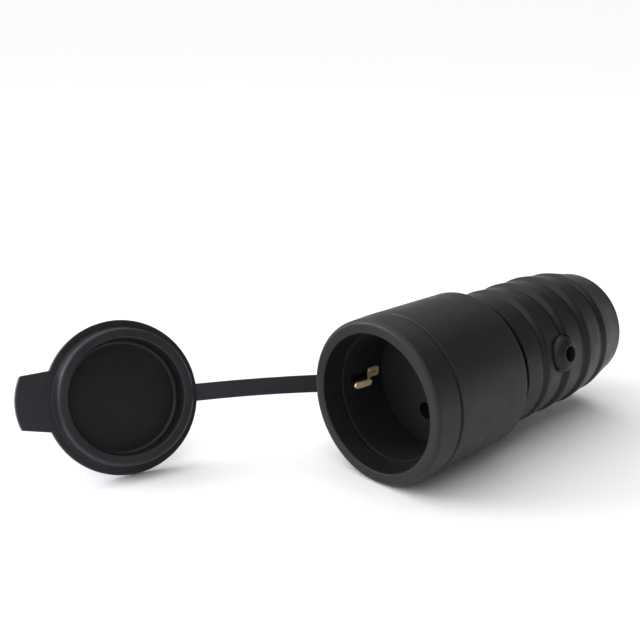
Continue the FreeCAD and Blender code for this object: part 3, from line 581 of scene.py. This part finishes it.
def makeGrip(g, b):
    sleeve = lathe("gripSleeve", gripCorners(g), 192)
    outside = bossSpot(b["topPast"])
    inside = bossSpot(b["foot"] - b["footPast"])
    carve(sleeve, [barAlong("bossPocket", b["base"] + b["groove"], bossSpot(b["floor"]), outside, 96),
                   barAlong("bossCore", b["base"] - b["core"], inside, outside, 96)])
    button = toBoss(lathe("bossButton", [
        (b["hole"], b["seat"] + 1, 0),
        (b["hole"], b["top"], 0.3),
        (b["tip"], b["top"] - 0.05, 1.2),
        (b["base"] - 1.1, b["top"] - 1.0, 2.6),
        (b["base"] - 0.15, b["edge"] + 0.6, 1.5),
        (b["base"], b["edge"] - 0.3, 0.5),
        (b["base"], b["floor"] - 0.4, 0),
        (b["base"], b["foot"], 0),
        (b["shank"], b["foot"], 0),
        (b["shank"], b["seat"], 0),
        (b["hole"], b["seat"], 0),
        (b["hole"], b["seat"] + 1, 0),
    ], 96, alongZ))
    return joinInto(sleeve, [button])


dress(makeGrip(grip, boss), gripRubber, "grip_sleeve", smooth=28)
print("grip made")

# locking screw
lockScrew = {"head": 2.4, "seat": 21.05, "top": 22.9, "shank": 1.7, "tip": 8.6, "tipSlope": (0.4, 0.5),
             "slot": 0.4, "slotReach": 1.7, "slotDeep": 1.0}


def makeLockScrew(s):
    across, down = s["tipSlope"]
    piece = lathe("lockScrew", [
        (0, s["tip"], 0),
        (s["shank"] - across, s["tip"], 0),
        (s["shank"], s["tip"] + down, 0),
        (s["shank"], s["seat"], 0),
        (s["head"], s["seat"], 0.1),
        (s["head"], s["top"] - 0.1, 0.5),
        (0, s["top"], 0),
    ], 64, alongZ, shut=False)
    half, far = s["slot"], s["slotReach"]
    low, high = s["top"] - s["slotDeep"], s["top"] + 1
    carve(piece, [boxFrom("slotA", (-half, -far, low), (half, far, high)),
                  boxFrom("slotB", (-far, -half, low), (far, half, high))])
    return toBoss(piece)


dress(makeLockScrew(lockScrew), darkSteel, "locking_screw", smooth=30)
print("locking screw made")

# cable seal
seal = {"bore": 4.8, "seam": 2, "outer": 9.0, "front": 97.55, "flange": 11.0, "flangeTo": 99.55, "end": 106.2,
        "ringTop": (7.6, 6.2), "ringFoot": (7.3, 6.5), "ringDeep": 0.8}


def makeSeal(s):
    return lathe("cableSeal", [
        (s["bore"], s["front"] + s["seam"], 0),
        (s["bore"], s["front"], 0.4),
        (s["flange"], s["front"], 0.3),
        (s["flange"], s["flangeTo"], 0.2),
        (s["outer"], s["flangeTo"], 0),
        (s["outer"], s["end"], 0.5),
        (s["ringTop"][0], s["end"], 0.3),
        (s["ringFoot"][0], s["end"] - s["ringDeep"], 0.3),
        (s["ringFoot"][1], s["end"] - s["ringDeep"], 0.3),
        (s["ringTop"][1], s["end"], 0.3),
        (s["bore"], s["end"], 0.6),
        (s["bore"], s["front"] + s["seam"], 0),
    ], 96)


dress(makeSeal(seal), sealRubber, "cable_seal")
print("cable seal made")

# ring in the groove behind the barrel
ring = {"inner": 20.95, "outer": 21.7, "front": 42.7, "rear": 46.1, "seam": 1}


def makeRing(r):
    return lathe("strapRing", [
        (r["inner"], r["front"] + r["seam"], 0),
        (r["inner"], r["front"], 0.2),
        (r["outer"], r["front"], 0.35),
        (r["outer"], r["rear"], 0.35),
        (r["inner"], r["rear"], 0.2),
        (r["inner"], r["front"] + r["seam"], 0),
    ], 160)


dress(makeRing(ring), strapRubber, "retaining_ring")
print("ring made")

# cap
cap = {"spot": (-62.1016, -47.3502, -2.7797), "facing": 74.4, "lean": 22.2, "roll": -7.0,
       "flange": 24.1, "flangeThick": 2.4, "collar": 21.6, "collarTop": 21.1, "height": 5.3, "bore": 18.0,
       "recess": 7.0, "back": 3.8, "backRadius": 19.6, "backSlope": 1.4, "dish": 7.0, "dishTop": 7.6,
       "dishDeep": 0.5,
       "pull": 8.6, "pullRoot": 9.85, "pullHold": 5.5, "pullEnd": 8.15, "pullBow": 1.7, "pullEdge": 0.45,
       "paintedShadeReach": 18.9, "paintedShadeFade": 0.7, "paintedShadeShare": 0.42}
capPose = (Matrix.Translation(Vector(cap["spot"]) * mm)
           @ Matrix.Rotation(math.radians(cap["facing"]), 4, "Z")
           @ Matrix.Rotation(math.radians(90 - cap["lean"]), 4, "X")
           @ Matrix.Rotation(math.radians(cap["roll"]), 4, "Z"))
capFloor = cap["height"] - cap["recess"]


def makeCap(c):
    piece = lathe("capCover", [
        (0, -c["back"] + c["dishDeep"], 0),
        (c["dish"], -c["back"] + c["dishDeep"], 0.4),
        (c["dishTop"], -c["back"], 0.4),
        (c["backRadius"], -c["back"], 0.9),
        (c["backRadius"] + c["backSlope"], -c["flangeThick"], 0.6),
        (c["flange"], -c["flangeThick"], 0.55),
        (c["flange"], 0, 0.4),
        (c["collar"] + 0.25, 0, 0.3),
        (c["collar"], 0.35, 0.2),
        (c["collarTop"], c["height"], 1.0),
        (c["bore"] + 0.1, c["height"], 0.5),
        (c["bore"] - 0.3, capFloor, 1.3),
        (0, capFloor, 0),
    ], 176, alongZ, shut=False)
    outer = c["flange"] + c["pull"]
    steps = [c["pullEnd"] * (k / 8) for k in range(-8, 9)]
    bow = [(-outer + c["pullBow"] * (v / c["pullEnd"]) ** 2, v) for v in steps]
    inner = -c["flange"] + c["pullHold"]
    path = [(inner, -c["pullRoot"])] + bow + [(inner, c["pullRoot"])]
    low = -c["flangeThick"]
    tab = plate("pullTab", [(x, y, low) for x, y in path], (0, 0, c["flangeThick"]), c["pullEdge"])
    carve(piece, [tab], "UNION")
    piece.matrix_world = capPose
    return piece


def measurePoint(tree, place, operation, other):
    # one number for each point: its distance from a spot, or how far it lies along an axis
    node = tree.nodes.new("ShaderNodeVectorMath")
    node.operation = operation
    node.inputs[1].default_value = other
    tree.links.new(place, node.inputs[0])
    return node.outputs["Value"]


def paintHollowShade(material, centre, axis, reach, fade, share):
    # painted shade: the rubber's colour is darkened inside the collar, darkest on the floor of the hollow,
    # standing in for the shade that falls there
    tree = material.node_tree
    shader = tree.nodes["Principled BSDF"]
    painted = shader.inputs["Base Color"].links[0].from_socket
    place = tree.nodes["Texture Coordinate"].outputs["Object"]
    apart = measurePoint(tree, place, "DISTANCE", centre)
    depth = measurePoint(tree, place, "DOT_PRODUCT", axis)
    level = centre.dot(axis)
    paler = tree.nodes.new("ShaderNodeMath")
    paler.operation = "MAXIMUM"
    tree.links.new(span(tree, apart, share, 1.0, reach - fade, reach), paler.inputs[0])
    behind = span(tree, depth, 1.0, share, level - 2 * fade, level - fade)  # the back stays as the outside
    tree.links.new(behind, paler.inputs[1])
    deepen = tree.nodes.new("ShaderNodeVectorMath")
    deepen.operation = "SCALE"
    tree.links.new(painted, deepen.inputs[0])
    tree.links.new(paler.outputs["Value"], deepen.inputs["Scale"])
    tree.links.new(deepen.outputs["Vector"], shader.inputs["Base Color"])


hollow = capPose @ (Vector((0, 0, capFloor)) * mm)
capAxis = capPose.to_3x3() @ Vector(alongZ)
# painted shade inside the cap's collar
paintHollowShade(capRubber, hollow, capAxis, cap["paintedShadeReach"] * mm, cap["paintedShadeFade"] * mm, cap["paintedShadeShare"])
dress(makeCap(cap), capRubber, "cap", body="cap", smooth=30)
print("cap made")

# strap
strap = {"from": 23.7, "reach": 96.45, "turn": 72.0, "stub": 14.8, "bend": 9.95, "thick": 1.9, "width": 5.6,
         "edge": 0.45, "steps": 40, "bow": 0.65, "flare": 0.85, "fixedFrom": 4.5, "fixedTo": 2.0}


def makeStrap(s):
    a = math.radians(s["turn"])
    level = -s["thick"] / 2
    end = (s["reach"] + s["stub"] * math.cos(a), level + s["stub"] * math.sin(a))
    last = s["reach"] - s["bend"] * math.tan(a / 2)  # where the straight run ends
    line = [(s["from"] + (last - s["from"]) * k / s["steps"], level) for k in range(s["steps"])]
    bend = roundPath([(last - 1, level, 0), (s["reach"], level, s["bend"]), (*end, 0)])[1:]
    lower, upper = [], []
    for x, z in line + bend:
        u = min(1, (x - s["from"]) / (last - s["from"]))
        middle = s["bow"] * 4 * u * (1 - u)
        lower.append((x, middle - s["width"] / 2 - s["flare"] * u * u, z))
        upper.append((x, middle + s["width"] / 2, z))
    piece = joinInto(drawLine("capStrap", lower), [drawLine("upperEdge", upper)])
    editAll(piece)
    bpy.ops.mesh.bridge_edge_loops()
    faceOut()
    thicken(piece, s["thick"])
    roundEdges(piece, s["edge"])
    piece.matrix_world = capPose
    return piece


strapPiece = dress(makeStrap(strap), strapRubber, "cap_strap", body=None)
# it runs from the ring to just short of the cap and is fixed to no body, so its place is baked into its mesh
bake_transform(strapPiece)
print("strap made")

# inner pieces that keep the shape of their solids
kept = {"contact_base": basePlastic, "line_contact": sleeveBrass, "neutral_contact": sleeveBrass,
        "earth_terminal_screw": fixingSteel, "line_terminal_screw": fixingSteel,
        "neutral_terminal_screw": fixingSteel, "base_screws": fixingSteel, "cord_clamp_bar": fixingSteel,
        "cord_clamp_screws": fixingSteel, "anchor_nut": fixingSteel}
for node, material in kept.items():
    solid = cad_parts[node]
    solid.data.materials.clear()
    solid.data.materials.append(material)
print("inner pieces dressed")

# floor, light and camera
studio = {"ground": -26.0, "floorSize": 60, "floorTone": (0.98, 0.99), "floorGrain": (9, 2),
          "floorRough": 0.8, "floorShine": 0.1, "sky": 0.14, "horizon": 0.98, "skyFade": (0.08, 0.18),
          "dome": 3.06, "domeAngle": 110, "domeFrom": (-0.4, -0.35, 1.0), "domeTint": (1.0, 0.99, 0.985)}
# soft boxes: place, aim and size in metres, power in watts, tint
softBoxes = {"leftLight": ((-0.56, -0.5, 0.28), (-0.03, -0.01, 0), (0.4, 0.4), 3.8, (0.88, 0.94, 1.0)),
             "frontLight": ((0.3, -0.42, 0.34), (-0.04, -0.02, 0), (0.25, 0.25), 0.58, (0.84, 0.92, 1.0)),
             "backLight": ((-0.55, 0.5, 0.42), (-0.03, 0.0, 0), (0.9, 0.5), 0.35, (1, 1, 1))}
viewpoint = {"place": (195.2, -208.4, 123.6), "right": (0.690, 0.7235, 0.0), "up": (-0.2330, 0.2223, 0.9467),
             "back": (0.6850, -0.6536, 0.3221), "lens": 58.37, "sensor": 36, "near": 0.005, "far": 200}


def layFloor(s):
    letGo()
    bpy.ops.mesh.primitive_plane_add(size=s["floorSize"], location=(0, 0, s["ground"] * mm))
    floor = nameNew("floor")
    paint, tree, shader, place = newFinish("floorPaint")
    shader.inputs["Roughness"].default_value = s["floorRough"]
    shader.inputs["Specular IOR Level"].default_value = s["floorShine"]
    low, high = s["floorTone"]
    tone = ramp(tree, grain(tree, place, *s["floorGrain"]), (low, low, low), (high, high, high))
    tree.links.new(tone, shader.inputs["Base Color"])
    floor.data.materials.append(paint)


def fillAir(s):
    world = bpy.data.worlds.new("studioAir")
    bpy.context.scene.world = world
    world.use_nodes = True
    air = world.node_tree
    background = air.nodes["Background"]
    background.inputs["Color"].default_value = (1, 1, 1, 1)
    heading = air.nodes.new("ShaderNodeTexCoord")
    height = air.nodes.new("ShaderNodeSeparateXYZ")
    air.links.new(heading.outputs["Generated"], height.inputs["Vector"])
    glow = span(air, height.outputs["Z"], s["horizon"], s["sky"], *s["skyFade"])  # pale round the horizon
    air.links.new(glow, background.inputs["Strength"])


def hangDome(s):
    letGo()
    turn = Vector(s["domeFrom"]).to_track_quat("Z", "Y").to_euler()
    bpy.ops.object.light_add(type="SUN", location=(0, 0, 1), rotation=turn)
    dome = nameNew("domeLight")
    dome.data.energy = s["dome"]
    dome.data.color = s["domeTint"]
    dome.data.angle = math.radians(s["domeAngle"])


def hangSoftBox(name, spot, aim, size, power, tint):
    letGo()
    turn = (Vector(spot) - Vector(aim)).to_track_quat("Z", "Y").to_euler()
    bpy.ops.object.light_add(type="AREA", location=spot, rotation=turn)
    light = nameNew(name)
    light.data.shape = "RECTANGLE"
    light.data.size, light.data.size_y = size
    light.data.energy = power
    light.data.color = tint


def setCamera(v):
    lens = bpy.data.cameras.new("photoCamera")
    lens.sensor_width = v["sensor"]
    lens.lens = v["lens"]
    lens.clip_start = v["near"]
    lens.clip_end = v["far"]
    camera = bpy.data.objects.new("photoCamera", lens)
    bpy.context.scene.collection.objects.link(camera)
    turn = Matrix((v["right"], v["up"], v["back"])).transposed().to_4x4()
    camera.matrix_world = Matrix.Translation(Vector(v["place"]) * mm) @ turn
    bpy.context.scene.camera = camera


layFloor(studio)
fillAir(studio)
hangDome(studio)
for name, setting in softBoxes.items():
    hangSoftBox(name, *setting)
setCamera(viewpoint)
bpy.context.scene.view_settings.view_transform = "Standard"
print("studio set")
